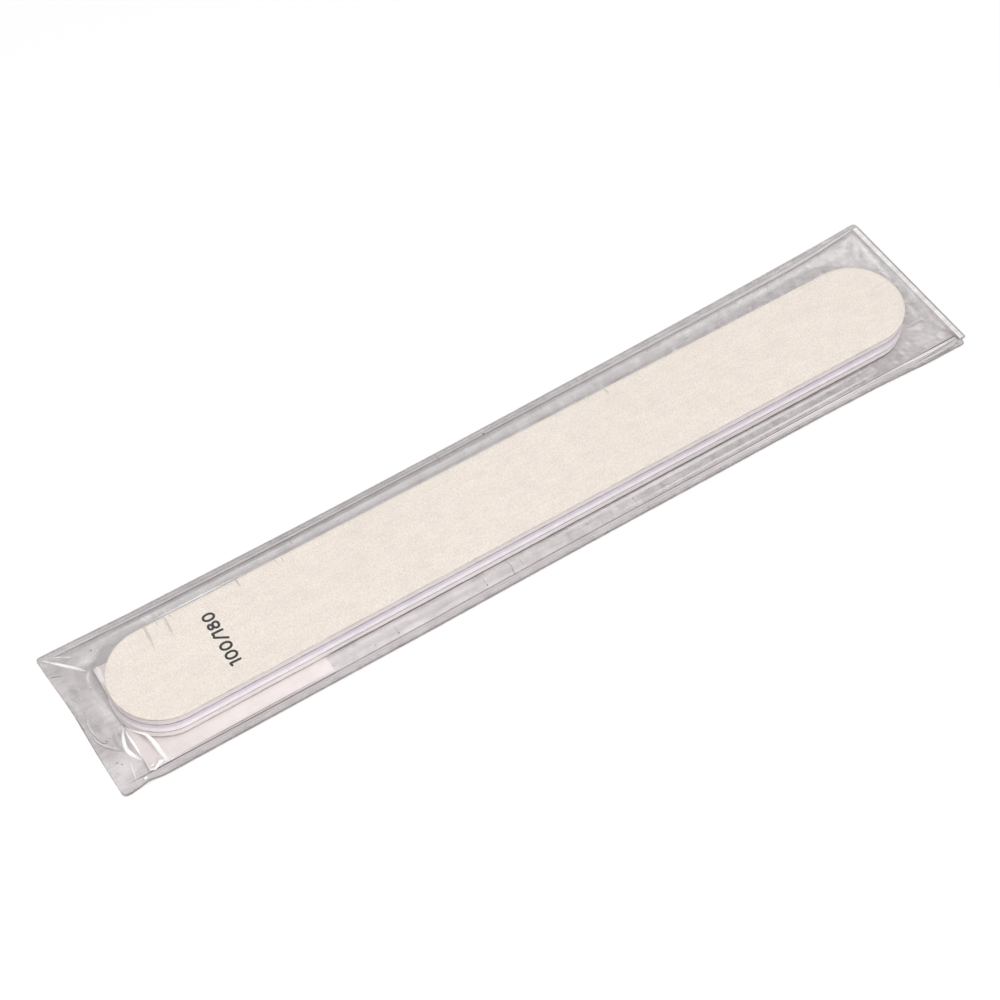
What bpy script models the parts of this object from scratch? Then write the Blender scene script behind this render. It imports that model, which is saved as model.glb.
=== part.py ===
"""A cushion nail file lying in its clear sleeve, in metres.

+X runs along the file, from the sleeve's open mouth to its welded end, and +Z is up.
The origin is on the surface that the sleeve lies on, under the middle of the sleeve.
"""
import math

import bmesh
import bpy
from mathutils import Vector

# The file: one straight bar with round ends, cut through the whole laminate.
file_length = 0.179
file_width = 0.020
abrasive_thickness = 0.00035
paper_glue_thickness = 0.00005
foam_thickness = 0.00135
core_glue_thickness = 0.0001
core_thickness = 0.0025

# The sleeve: two films, welded along three sides and open at the mouth.
film_thickness = 0.0002
mouth_room = 0.0066
closed_end_room = 0.0079
near_room = 0.0055
far_room = 0.0084
closed_end_flare = 0.0019
closed_end_skew = 0.0012
waist_share = 0.345
corner_radius = 0.0008
side_weld_width = 0.0018
end_weld_width = 0.0016
weld_thickness = 0.00008

# The front film: it overhangs the file's edge, falls a little slack and meets the back film at a lip.
film_shoulder = 0.0003
mouth_lip = 0.0005
film_fall_shares = ((0.25, 0.83), (0.5, 0.59), (0.75, 0.31))

# The label, stuck on the inside of the back film at the mouth end.
label_length = 0.038
label_thickness = 0.0001
label_glue_thickness = 0.00003
label_mouth_room = 0.0069
label_weld_room = 0.0002
label_far_room = 0.0057

# Clearances: between bonded layers, under the file, and over it.
bond_gap = 0.00002
file_clearance = 0.00008
film_clearance = 0.0001

# Points nearer than this are one point.
merge_distance = 0.000001

# Steps along each side, each short end, each rounded corner and each round end of the file.
side_steps = 64
end_steps = 16
corner_steps = 4
arc_steps = 32

# Places that follow from the sizes.
sleeve_length = mouth_room + file_length + closed_end_room
waist_width = near_room + file_width + far_room
sleeve_end = sleeve_length / 2
waist_x = -sleeve_end + waist_share * sleeve_length
file_x = -sleeve_end + mouth_room + file_length / 2
file_y = -closed_end_skew - waist_width / 2 + near_room + file_width / 2
label_glue_bottom = film_thickness + bond_gap
label_bottom = label_glue_bottom + label_glue_thickness + bond_gap
file_bottom = label_bottom + label_thickness + file_clearance
weld_bottom = film_thickness + bond_gap
film_seat = weld_bottom + weld_thickness + bond_gap


def clear_scene():
    """Remove every object, so that the model starts alone."""
    for item in list(bpy.data.objects):
        bpy.data.objects.remove(item)


def finish(name, colour, roughness, alpha=1.0):
    """One plain Principled material, see-through where alpha is under 1."""
    material = bpy.data.materials.new(name)
    material.use_nodes = True
    shader = material.node_tree.nodes["Principled BSDF"]
    shader.inputs["Base Color"].default_value = (*colour, 1.0)
    shader.inputs["Roughness"].default_value = roughness
    shader.inputs["Metallic"].default_value = 0.0
    shader.inputs["Alpha"].default_value = alpha
    return material


def carry(item, parent, material):
    """Link an object to the part's collection, under its body's empty, with its own material."""
    item.data.materials.append(material)
    parts.objects.link(item)
    item.parent = parent
    return item


def body_empty(name):
    """An empty at the origin that carries one rigid body's pieces."""
    empty = bpy.data.objects.new(name, None)
    parts.objects.link(empty)
    return empty


def plate(name, outline, bottom, thickness, parent, material):
    """A flat piece: a closed 2D outline, extruded by half its thickness each way from its middle."""
    curve = bpy.data.curves.new(name, "CURVE")
    curve.dimensions = "2D"
    curve.fill_mode = "BOTH"
    curve.extrude = thickness / 2
    spline = curve.splines.new("POLY")
    spline.points.add(len(outline) - 1)
    for point, (x, y) in zip(spline.points, outline):
        point.co = (x, y, 0.0, 1.0)
    spline.use_cyclic_u = True
    item = bpy.data.objects.new(name, curve)
    item.location.z = bottom + thickness / 2
    return carry(item, parent, material)


def evenly(start, end, steps):
    """steps + 1 numbers from start to end."""
    return [start + (end - start) * step / steps for step in range(steps + 1)]


def arc(centre_x, centre_y, radius, start, end, steps):
    """Points on a circle's arc, from angle start to angle end."""
    return [(centre_x + radius * math.cos(turn), centre_y + radius * math.sin(turn))
            for turn in evenly(start, end, steps)]


def file_outline():
    """The file's outline: two half circles joined by straight sides, counter-clockwise."""
    radius = file_width / 2
    reach = file_length / 2 - radius
    quarter = math.pi / 2
    return (arc(file_x + reach, file_y, radius, -quarter, quarter, arc_steps)
            + arc(file_x - reach, file_y, radius, quarter, 3 * quarter, arc_steps))


def long_edge(side, x, inset=0.0):
    """The y of one long edge of the sleeve at x, +1 for the far side and -1 for the near one.

    From the mouth to the waist the sleeve is straight and even. From there to the closed end its width
    grows as a parabola and its middle line, which lies a little askew to the file, runs straight.
    """
    run = max(0.0, (x - waist_x) / (sleeve_end - waist_x))
    middle = closed_end_skew * (run - 1)
    return middle + side * (waist_width / 2 + closed_end_flare * run ** 2 - inset)


def sleeve_outline(side_inset=0.0, mouth_inset=0.0, closed_inset=0.0):
    """The sleeve's outline, drawn in by an inset on each side, counter-clockwise from the near mouth corner.

    Every outline has the same count of points, so that two of them can be joined point to point.
    """
    quarter = math.pi / 2
    left = -sleeve_end + mouth_inset + corner_radius
    right = sleeve_end - closed_inset - corner_radius
    stations = evenly(left, right, side_steps)
    near_side = [(x, long_edge(-1, x, side_inset)) for x in stations]
    far_side = [(x, long_edge(1, x, side_inset)) for x in reversed(stations)]
    right_near = long_edge(-1, right, side_inset) + corner_radius
    right_far = long_edge(1, right, side_inset) - corner_radius
    left_near = long_edge(-1, left, side_inset) + corner_radius
    left_far = long_edge(1, left, side_inset) - corner_radius
    right_end = [(right + corner_radius, y) for y in evenly(right_near, right_far, end_steps)]
    left_end = [(left - corner_radius, y) for y in evenly(left_far, left_near, end_steps)]
    return (near_side
            + arc(right, right_near, corner_radius, -quarter, 0.0, corner_steps)[1:-1] + right_end
            + arc(right, right_far, corner_radius, 0.0, quarter, corner_steps)[1:-1] + far_side
            + arc(left, left_far, corner_radius, quarter, 2 * quarter, corner_steps)[1:-1] + left_end
            + arc(left, left_near, corner_radius, 2 * quarter, 3 * quarter, corner_steps)[1:-1])


def beside_file(point, gap):
    """The point of the file's outline, grown by gap, that is nearest to a point outside it."""
    reach = file_length / 2 - file_width / 2
    axis_x = min(max(point[0], file_x - reach), file_x + reach)
    away = Vector((point[0] - axis_x, point[1] - file_y)).normalized()
    return Vector((axis_x, file_y)) + away * (file_width / 2 + gap)


def abrasive_file(parent):
    """The nine layers of the file, laid up from the lower abrasive face to the upper one."""
    cream = (0.83, 0.75, 0.66)
    pink_grey = (0.72, 0.64, 0.64)
    grey = (0.46, 0.42, 0.44)
    lilac_white = (0.74, 0.7, 0.76)
    layers = (
        ("bottom_abrasive_paper", abrasive_thickness, cream, 0.9),
        ("bottom_paper_glue", paper_glue_thickness, grey, 0.4),
        ("bottom_foam_pad", foam_thickness, pink_grey, 0.8),
        ("bottom_core_glue", core_glue_thickness, grey, 0.4),
        ("core_board", core_thickness, lilac_white, 0.25),
        ("top_core_glue", core_glue_thickness, grey, 0.4),
        ("top_foam_pad", foam_thickness, pink_grey, 0.8),
        ("top_paper_glue", paper_glue_thickness, grey, 0.4),
        ("top_abrasive_paper", abrasive_thickness, cream, 0.9),
    )
    outline = file_outline()
    bottom = file_bottom
    for name, thickness, colour, roughness in layers:
        plate(name, outline, bottom, thickness, parent, finish(name, colour, roughness))
        bottom += thickness + bond_gap
    return bottom - bond_gap


def back_film(parent, clear):
    """The flat film that the file and the label lie on."""
    film = finish("sleeve_back_film", clear, 0.12, 0.35)
    plate("sleeve_back_film", sleeve_outline(), 0.0, film_thickness, parent, film)


def front_film(parent, clear, file_top):
    """The film over the file: flat on top, then rings that fall to the weld line, then the flat margin.

    A line runs from each point of the weld line straight to the nearest point of the file's edge and on
    to the file's axis. Each ring takes the same share of every line, and the last ring closes on the axis.
    """
    crest_height = file_top + film_clearance
    margin = sleeve_outline()
    foot = sleeve_outline(side_weld_width, mouth_lip, end_weld_width)
    rings = [[(x, y, film_seat) for x, y in margin], [(x, y, film_seat) for x, y in foot]]
    for run_share, height_share in reversed(film_fall_shares):
        height = film_seat + (crest_height - film_seat) * height_share
        rings.append([(*beside_file(point, film_shoulder).lerp(Vector(point), run_share), height)
                      for point in foot])
    rings.append([(*beside_file(point, film_shoulder), crest_height) for point in foot])
    rings.append([(*beside_file(point, -file_width / 2), crest_height) for point in foot])
    shape = bmesh.new()
    loops = [[shape.verts.new(point) for point in ring] for ring in rings]
    for outer, inner in zip(loops, loops[1:]):
        for step in range(len(outer)):
            shape.faces.new((outer[step - 1], outer[step], inner[step], inner[step - 1]))
    bmesh.ops.remove_doubles(shape, verts=shape.verts, dist=merge_distance)
    mesh = bpy.data.meshes.new("sleeve_front_film")
    shape.to_mesh(mesh)
    shape.free()
    mesh.shade_smooth()
    item = bpy.data.objects.new("sleeve_front_film", mesh)
    wall = item.modifiers.new("wall", "SOLIDIFY")
    wall.thickness = film_thickness
    wall.offset = 1.0
    carry(item, parent, finish("sleeve_front_film", clear, 0.12, 0.35))


def side_weld(name, side, parent, clear):
    """The fused strip along one long side, +1 for the far side and -1 for the near one."""
    stations = evenly(-sleeve_end + corner_radius, sleeve_end - end_weld_width - bond_gap, side_steps)
    outer = [(x, long_edge(side, x)) for x in stations]
    inner = [(x, long_edge(side, x, side_weld_width)) for x in reversed(stations)]
    plate(name, outer + inner, weld_bottom, weld_thickness, parent, finish(name, clear, 0.3, 0.6))


def end_weld(parent, clear):
    """The fused strip across the closed end."""
    near = long_edge(-1, sleeve_end - corner_radius) + corner_radius
    far = long_edge(1, sleeve_end - corner_radius) - corner_radius
    inner_x = sleeve_end - end_weld_width
    outline = [(inner_x, near), (sleeve_end, near), (sleeve_end, far), (inner_x, far)]
    film = finish("closed_end_weld", clear, 0.3, 0.6)
    plate("closed_end_weld", outline, weld_bottom, weld_thickness, parent, film)


def label(parent):
    """A blank paper label and the glue under it, from beside the near weld to short of the far one."""
    left = -sleeve_end + label_mouth_room
    right = left + label_length
    near = -closed_end_skew - waist_width / 2 + side_weld_width + label_weld_room
    far = -closed_end_skew + waist_width / 2 - side_weld_width - label_far_room
    outline = [(left, near), (right, near), (right, far), (left, far)]
    plate("label_glue", outline, label_glue_bottom, label_glue_thickness, parent,
          finish("label_glue", (0.7, 0.68, 0.64), 0.4))
    plate("label_paper", outline, label_bottom, label_thickness, parent,
          finish("label_paper", (0.93, 0.9, 0.92), 0.6))


def sleeve(parent, file_top):
    """The two films, the three welds between them and the label inside."""
    clear = (0.78, 0.75, 0.77)
    back_film(parent, clear)
    front_film(parent, clear, file_top)
    side_weld("far_side_weld", 1, parent, clear)
    side_weld("near_side_weld", -1, parent, clear)
    end_weld(parent, clear)
    label(parent)


clear_scene()
parts = bpy.data.collections.new("nail_file")
bpy.context.scene.collection.children.link(parts)
file_top = abrasive_file(body_empty("file"))
sleeve(body_empty("sleeve"), file_top)
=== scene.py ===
"""Looks for a cushion nail file lying in its clear sleeve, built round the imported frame, in metres.

+X runs along the file from the sleeve's open mouth to its welded end, +Y across it, +Z up.
Every shape is worked out with numpy as a grid of points and then put into a mesh.
"""
import math

import bmesh
import bpy
import numpy as np
from mathutils import Matrix, Vector


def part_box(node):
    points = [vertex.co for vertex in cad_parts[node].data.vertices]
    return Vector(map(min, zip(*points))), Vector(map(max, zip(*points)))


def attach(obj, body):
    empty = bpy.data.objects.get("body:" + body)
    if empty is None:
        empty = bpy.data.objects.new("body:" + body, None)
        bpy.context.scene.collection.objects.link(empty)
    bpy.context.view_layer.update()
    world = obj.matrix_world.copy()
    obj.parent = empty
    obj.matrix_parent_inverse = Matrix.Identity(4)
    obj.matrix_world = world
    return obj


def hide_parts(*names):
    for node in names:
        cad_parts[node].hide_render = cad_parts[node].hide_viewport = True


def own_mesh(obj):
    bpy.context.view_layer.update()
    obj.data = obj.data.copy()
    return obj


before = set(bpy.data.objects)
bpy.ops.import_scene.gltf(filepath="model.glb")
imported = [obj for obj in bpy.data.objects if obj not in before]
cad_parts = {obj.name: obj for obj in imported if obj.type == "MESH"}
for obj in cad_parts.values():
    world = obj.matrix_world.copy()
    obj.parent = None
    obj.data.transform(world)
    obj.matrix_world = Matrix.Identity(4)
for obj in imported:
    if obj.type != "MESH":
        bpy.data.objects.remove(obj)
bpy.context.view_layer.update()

mm = 0.001

# The file's outline, from its upper abrasive paper.
paper_low, paper_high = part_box("top_abrasive_paper")
file_x = (paper_low.x + paper_high.x) / 2
file_y = (paper_low.y + paper_high.y) / 2
file_radius = (paper_high.y - paper_low.y) / 2
file_reach = (paper_high.x - paper_low.x) / 2 - file_radius
file_top = paper_high.z

# The sleeve's outline: the source's own sizes, and the film's heights from its nodes.
sleeve_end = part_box("sleeve_back_film")[1].x
waist_half = 16.95 * mm
closed_end_flare = 1.9 * mm
closed_end_skew = 1.2 * mm
waist_share = 0.345
corner_radius = 0.8 * mm
# How far each long edge was really cut inside the source's line, by x, both in mm.
near_drawn_in = ((-97, 0), (-40, 0.04), (0, 0.08), (35, 0.16), (50, 0.3), (62, 0.4), (74, 0.36),
                 (80, 0.2), (86, 0), (97, 0.1))
far_drawn_in = ((-97, 0), (-90, 0.1), (-78, 0.34), (-45, 0.36), (-22, 0.22), (0, 0.2), (20, 0.13),
                (50, 0.15), (86, 0.15), (93, 0.05), (97, 0))
side_weld_width = 1.8 * mm
end_weld_width = 1.6 * mm
weld_rib = 0.03 * mm
mouth_lip = 0.5 * mm
film_thickness = 0.2 * mm
film_shoulder = 0.3 * mm
back_film_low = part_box("sleeve_back_film")[0].z
waist_x = -sleeve_end + waist_share * 2 * sleeve_end
film_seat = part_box("sleeve_front_film")[0].z
film_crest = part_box("sleeve_front_film")[1].z - film_thickness
weld_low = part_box("near_side_weld")[0].z
weld_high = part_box("near_side_weld")[1].z


def towards(azimuth, elevation):
    """The direction up to a place at this azimuth, counted from -Y towards +X, and this elevation."""
    level = math.cos(elevation)
    return Vector((math.sin(azimuth) * level, -math.cos(azimuth) * level, math.sin(elevation)))


# Where the photograph was taken from, and with which lens, solved from the file's outline in it.
camera_azimuth = math.radians(-34.958)
camera_elevation = math.radians(54.372)
camera_roll = math.radians(1.755)
camera_target = Vector((-0.005132, -0.000099, 0.0))
camera_distance = 0.47235
camera_lens = 88.25
camera_eye = camera_target + towards(camera_azimuth, camera_elevation) * camera_distance

white = (1, 1, 1, 1)


def paint(red, green, blue):
    """A screen colour, 0 to 255, as the linear colour that a shader takes."""
    share = np.array([red, green, blue]) / 255
    linear = np.where(share <= 0.04045, share / 12.92, ((share + 0.055) / 1.055) ** 2.4)
    return (*(float(value) for value in linear), 1.0)


class Number:
    """A number socket of a finish's node tree, so that shader maths reads as plain maths."""

    def __init__(self, finish, socket):
        self.finish = finish
        self.socket = socket

    def maths(self, operation, *values):
        """What one maths node makes of these values."""
        node = self.finish.node("ShaderNodeMath", {"operation": operation}, dict(enumerate(values)))
        return Number(self.finish, node.outputs[0])

    def __add__(self, other):
        return self.maths("ADD", self, other)

    def __radd__(self, other):
        return self.maths("ADD", other, self)

    def __rsub__(self, other):
        return self.maths("SUBTRACT", other, self)

    def __mul__(self, other):
        return self.maths("MULTIPLY", self, other)

    def __pow__(self, other):
        return self.maths("POWER", self, other)

    def larger(self, other):
        """The larger of two numbers."""
        return self.maths("MAXIMUM", self, other)

    def between(self, low, high):
        """0 before low, 1 past high and a smooth step between them, either way round."""
        settings = {"clamp": True, "interpolation_type": "SMOOTHSTEP"}
        inputs = {"Value": self, "From Min": low, "From Max": high}
        node = self.finish.node("ShaderNodeMapRange", settings, inputs)
        return Number(self.finish, node.outputs[0])


class Finish:
    """A procedural material or world, with the one method that adds its nodes."""

    def __init__(self, name, world=False):
        self.owner = (bpy.data.worlds if world else bpy.data.materials).new(name)
        self.owner.use_nodes = True
        self.tree = self.owner.node_tree
        self.tree.nodes.clear()
        self.output = self.node("ShaderNodeOutputWorld" if world else "ShaderNodeOutputMaterial")
        self.place = self.node("ShaderNodeTexCoord").outputs["Object"]

    def node(self, kind, settings=None, inputs=None):
        """Adds a node: its settings first, then its sockets' values or links."""
        node = self.tree.nodes.new(kind)
        for name, value in (settings or {}).items():
            setattr(node, name, value)
        for name, value in (inputs or {}).items():
            value = value.socket if isinstance(value, Number) else value
            if isinstance(value, bpy.types.NodeSocket):
                self.tree.links.new(value, node.inputs[name])
            else:
                node.inputs[name].default_value = value
        return node

    def noise(self, size, detail=2.0, roughness=0.5, stretch=(1, 1, 1), turn=0.0):
        """Soft noise whose lumps are about size metres across, scaled along each axis and turned about Z."""
        inputs = {"Vector": self.place, "Scale": stretch, "Rotation": (0.0, 0.0, turn)}
        place = self.node("ShaderNodeMapping", {}, inputs).outputs[0]
        inputs = {"Vector": place, "Scale": 1 / size, "Detail": detail, "Roughness": roughness}
        return Number(self, self.node("ShaderNodeTexNoise", {}, inputs).outputs["Fac"])

    def cells(self, size):
        """The distance to the nearest point in a pattern of cells about size metres across."""
        node = self.node("ShaderNodeTexVoronoi", {}, {"Vector": self.place, "Scale": 1 / size})
        return Number(self, node.outputs["Distance"])

    def along(self, axis):
        """The place in metres along an axis, X, Y or Z. Z is the height above what the sleeve lies on."""
        return Number(self, self.node("ShaderNodeSeparateXYZ", {}, {0: self.place}).outputs[axis])

    def past_label(self):
        """0 beside the label and 1 past its end, towards the sleeve's closed end."""
        return self.along("X").between(-53 * mm, -50 * mm)

    def attribute(self, name):
        """A number that the piece's own mesh carries at its points."""
        node = self.node("ShaderNodeAttribute", {"attribute_name": name})
        return Number(self, node.outputs["Fac"])

    def seen(self):
        """1 for a ray from the camera, a reflection or a refraction and 0 for any other, by Light Path."""
        rays = self.node("ShaderNodeLightPath").outputs
        camera, glossy, refracted = (Number(self, rays[f"Is {kind} Ray"])
                                     for kind in ("Camera", "Glossy", "Transmission"))
        return camera.larger(glossy).larger(refracted)

    def mixed(self, share, first, second):
        """A colour between two, by share."""
        inputs = {0: share, 6: first, 7: second}
        return self.node("ShaderNodeMix", {"data_type": "RGBA"}, inputs).outputs[2]

    def bumped(self, height, depth, strength):
        """A normal from a height of 0 to 1 that stands for depth metres."""
        inputs = {"Height": height, "Distance": depth, "Strength": strength}
        return self.node("ShaderNodeBump", {}, inputs).outputs[0]

    def solid(self, inputs):
        """A Principled shader with these sockets."""
        return self.node("ShaderNodeBsdfPrincipled", {}, inputs).outputs[0]

    def blended(self, share, first, second):
        """One shader over another, by share."""
        return self.node("ShaderNodeMixShader", {}, {0: share, 1: first, 2: second}).outputs[0]

    def show(self, shader):
        """Makes shader the finish's surface and returns the material or world."""
        self.tree.links.new(shader, self.output.inputs["Surface"])
        return self.owner

    def skin(self, colour, roughness, height, depth, strength=0.5):
        """Makes one opaque shader the surface, bumped by height, and returns the material."""
        normal = self.bumped(height, depth, strength)
        return self.show(self.solid({"Base Color": colour, "Roughness": roughness, "Normal": normal}))


def abrasive_finish(name, grit_size, face, grain, painted_shade_edge=False):
    """Cream abrasive paper: mottled paper under grit, with stray dark grains and a rough skin.

    With a painted shade edge, painted contact shade darkens the cut that the mesh's own number "edge"
    marks, and more past the label.
    """
    finish = Finish(name)
    grit = finish.noise(grit_size, 3.0, 0.7)
    speckle = finish.noise(0.34 * mm, 2.0, 0.75)
    brushed = finish.noise(0.36 * mm, 2.0, 0.6, (1, 0.4, 1), 0.7)
    cloud = finish.noise(14 * mm)
    stray = finish.cells(1.3 * mm).between(0.14, 0.08) * finish.noise(3.1 * mm).between(0.55, 0.62)
    light = grit.between(0.3, 0.7) * 0.3 + speckle.between(0.36, 0.64) * 0.5
    light = light + brushed.between(0.35, 0.65) * 0.2
    colour = finish.mixed(light, grain, face)
    colour = finish.mixed(cloud.between(0.35, 0.7) * 0.08, colour, grain)
    colour = finish.mixed(stray * 0.35, colour, paint(158, 146, 136))
    if painted_shade_edge:
        # Painted contact shade along the cut edge, darker past the label.
        painted_contact_shade = finish.attribute("edge") * (0.4 + finish.past_label() * 0.42)
        colour = finish.mixed(painted_contact_shade, colour, paint(52, 45, 41))
    return finish.skin(colour, 0.85, grit * 0.5 + speckle * 0.5, 0.05 * mm)


def foam_finish():
    """Closed-cell foam: pits between fine cell walls on a cut face, uneven colour, painted shade at the
    bottom.

    The lower pad is pale pink-grey, the upper one a little greyer. The painted shade is lighter beside the
    label.
    """
    finish = Finish("cushion_foam")
    height = finish.along("Z")
    fine = finish.noise(0.07 * mm)
    cloud = finish.noise(2.2 * mm, stretch=(1, 1, 3))
    pit = finish.cells(0.16 * mm).between(0.5, 0.15)
    wall = finish.mixed(height.between(2.4 * mm, 4.5 * mm), paint(247, 240, 239), paint(231, 223, 222))
    colour = finish.mixed(pit * 0.3 + fine.between(0.4, 0.7) * 0.25, wall, paint(206, 196, 198))
    colour = finish.mixed(cloud.between(0.35, 0.7) * 0.2, colour, paint(224, 213, 215))
    # Painted contact shade along the foot of the wall, under the file.
    painted_contact_shade = (height + fine * (0.25 * mm)).between(1.14 * mm, 0.96 * mm)
    colour = finish.mixed(painted_contact_shade * (0.4 + finish.past_label() * 0.4), colour, paint(60, 52, 48))
    return finish.skin(colour, 0.8, 1 - pit, 0.03 * mm, 0.6)


def core_finish():
    """Lilac-white plastic sheet: glossy, with fine upright marks from the die and a brighter lower edge.

    The brighter lower edge is partly the cut's own fractured zone and partly a painted highlight.
    Grey glue is smeared along the top of its cut edge and, a little thicker, along the bottom.
    """
    finish = Finish("core_plastic")
    height = finish.along("Z")
    marks = finish.noise(0.12 * mm, 3.0, 0.6, (1, 1, 0.06))
    cloud = finish.noise(3 * mm)
    # The brighter lower part of the cut edge: partly its fractured zone, partly a painted highlight.
    wall = finish.mixed(height.between(4.3 * mm, 3.2 * mm), paint(216, 209, 216), paint(254, 249, 252))
    colour = finish.mixed(marks.between(0.35, 0.7) * 0.3, wall, paint(210, 203, 216))
    colour = finish.mixed(cloud.between(0.4, 0.7) * 0.15, colour, paint(206, 198, 212))
    glue = height.between(4.66 * mm, 4.8 * mm) + height.between(2.6 * mm, 2.46 * mm) * 1.2
    colour = finish.mixed(glue * (0.45 + marks * 0.6), colour, paint(104, 94, 106))
    return finish.skin(colour, 0.24 + marks * 0.16, marks, 0.012 * mm)


def glue_finish():
    """Grey adhesive film: slightly tacky gloss, uneven where it was cut."""
    finish = Finish("glue_film")
    smear = finish.noise(0.5 * mm, 3.0, 0.6)
    colour = finish.mixed(smear.between(0.3, 0.7), paint(84, 74, 84), paint(58, 50, 60))
    return finish.skin(colour, 0.3 + smear * 0.3, smear, 0.02 * mm, 0.4)


def ink_finish():
    """Black printing ink, slightly broken by the grit under it."""
    finish = Finish("grit_ink")
    grit = finish.noise(0.1 * mm, 3.0, 0.6)
    colour = finish.mixed(grit.between(0.6, 0.85) * 0.4, paint(14, 12, 12), paint(46, 41, 40))
    return finish.skin(colour, 0.55, grit, 0.01 * mm)


def label_finish():
    """Plain white label stock, with faint fibres in its colour and its skin.

    It is dimmer by painted shade, the mesh's own number "shade", and a painted shade line darkens its
    mouth edge by "edge".
    """
    finish = Finish("label_paper")
    fibre = finish.noise(0.3 * mm, 4.0, 0.65, (1, 0.3, 1), 0.5)
    cloud = finish.noise(5 * mm)
    colour = finish.mixed(fibre.between(0.35, 0.7) * 0.5, paint(249, 243, 240), paint(240, 233, 230))
    colour = finish.mixed(cloud.between(0.4, 0.7) * 0.25, colour, paint(228, 221, 218))
    # Painted shade: dimmer by "shade", and a dark painted line along the mouth edge by "edge".
    colour = finish.mixed(finish.attribute("shade") * 0.45, colour, paint(208, 200, 198))
    colour = finish.mixed(finish.attribute("edge"), colour, paint(126, 114, 112))
    return finish.skin(colour, 0.5, fibre, 0.006 * mm)


def film_finish(name, tint, veil_colour, smudge=0.0, lines=0.0, specks=0.0, strength=True,
                grain=(0.15, 1, 1)):
    """Clear vinyl: the tint passes, a thin veil lies over it, and a mirror skin on top.

    smudge is how thick clouds and fine streaks make the veil, and grain stretches the streaks along the
    film's draw. specks adds dust. lines darkens the veil by the mesh's own number "line", along cut edges
    and weld seams. With strength, the mesh's own number "strength" thickens the veil, and fades a crease
    out at its sides and ends. The mirror's share is 0.01 face on and grows by half the fifth power of the
    facing towards a grazing view, the same from both sides.
    """
    finish = Finish(name)
    cloud = finish.noise(3.6 * mm, 4.0, 0.65)
    streak = finish.noise(0.8 * mm, 3.0, 0.6, grain)
    haze = cloud.between(0.35, 0.75) * smudge + streak.between(0.4, 0.7) * (smudge * 0.7)
    if strength:
        haze = haze + finish.attribute("strength")
    if lines:
        line = finish.attribute("line")
        haze = haze + line * lines
        veil_colour = finish.mixed(line.between(0.02, 0.3), veil_colour, paint(80, 74, 76))
    if specks:
        dust = finish.cells(1.9 * mm).between(0.1, 0.06) * finish.noise(7 * mm).between(0.55, 0.6)
        haze = haze + dust * specks
    see = finish.node("ShaderNodeBsdfTransparent", {}, {"Color": tint}).outputs[0]
    normal = finish.bumped(finish.noise(2.4 * mm), 0.01 * mm, 0.25)
    over = finish.solid({"Base Color": veil_colour, "Roughness": 0.4, "Normal": normal})
    mirror = finish.solid({"Base Color": white, "Metallic": 1.0, "Roughness": 0.13 + cloud * 0.08,
                           "Normal": normal})
    grazing = Number(finish, finish.node("ShaderNodeLayerWeight", {}, {"Blend": 0.5}).outputs["Facing"])
    return finish.show(finish.blended(0.01 + grazing ** 5 * 0.5, finish.blended(haze, see, over), mirror))


back_tint = (0.965, 0.957, 0.955, 1)
front_tint = (0.995, 0.99, 0.992, 1)
weld_tint = (0.99, 0.985, 0.985, 1)

# Each clear finish by what it is for, and one finish for each solid material.
finishes = {
    "abrasive_paper": abrasive_finish("abrasive_paper", 0.17 * mm, paint(252, 245, 236),
                                      paint(220, 211, 199)),
    "fine_abrasive_paper": abrasive_finish("fine_abrasive_paper", 0.1 * mm, paint(249, 241, 232),
                                           paint(234, 223, 212), painted_shade_edge=True),
    "cushion_foam": foam_finish(),
    "core_plastic": core_finish(),
    "glue_film": glue_finish(),
    "grit_ink": ink_finish(),
    "label_paper": label_finish(),
    "back_film": film_finish("back_film", back_tint, paint(142, 136, 135), 0.07, specks=0.3),
    "front_film": film_finish("front_film", front_tint, paint(150, 144, 147), 0.02, 0.4, strength=False),
    "weld_film": film_finish("weld_film", weld_tint, paint(252, 248, 248), 0.06, 0.9, grain=(0.05, 1, 1)),
    "end_weld_film": film_finish("end_weld_film", weld_tint, paint(254, 251, 251), 0.06, 0.9,
                                 grain=(1, 0.05, 1)),
    # Painted highlights and painted shade on the film's ridges, and dark dust for its specks.
    "crease_glint": film_finish("crease_glint", white, paint(253, 251, 252)),
    "crease_shade": film_finish("crease_shade", white, paint(112, 104, 102)),
    "film_speck": film_finish("film_speck", white, paint(58, 52, 52)),
}

# Points nearer than this are merged, and edges folded by more than this stay sharp.
merge_distance = 0.0005 * mm
sharp_angle = math.radians(40)


def grid_faces(rows, columns, round_closed, across_closed):
    """The four corners of each face of a grid of points, closed round or across where asked."""
    index = np.arange(rows * columns).reshape(rows, columns)
    if round_closed:
        index = np.vstack([index, index[:1]])
    if across_closed:
        index = np.hstack([index, index[:, :1]])
    corners = [index[:-1, :-1], index[1:, :-1], index[1:, 1:], index[:-1, 1:]]
    return np.stack(corners, axis=-1).reshape(-1, 4)


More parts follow.
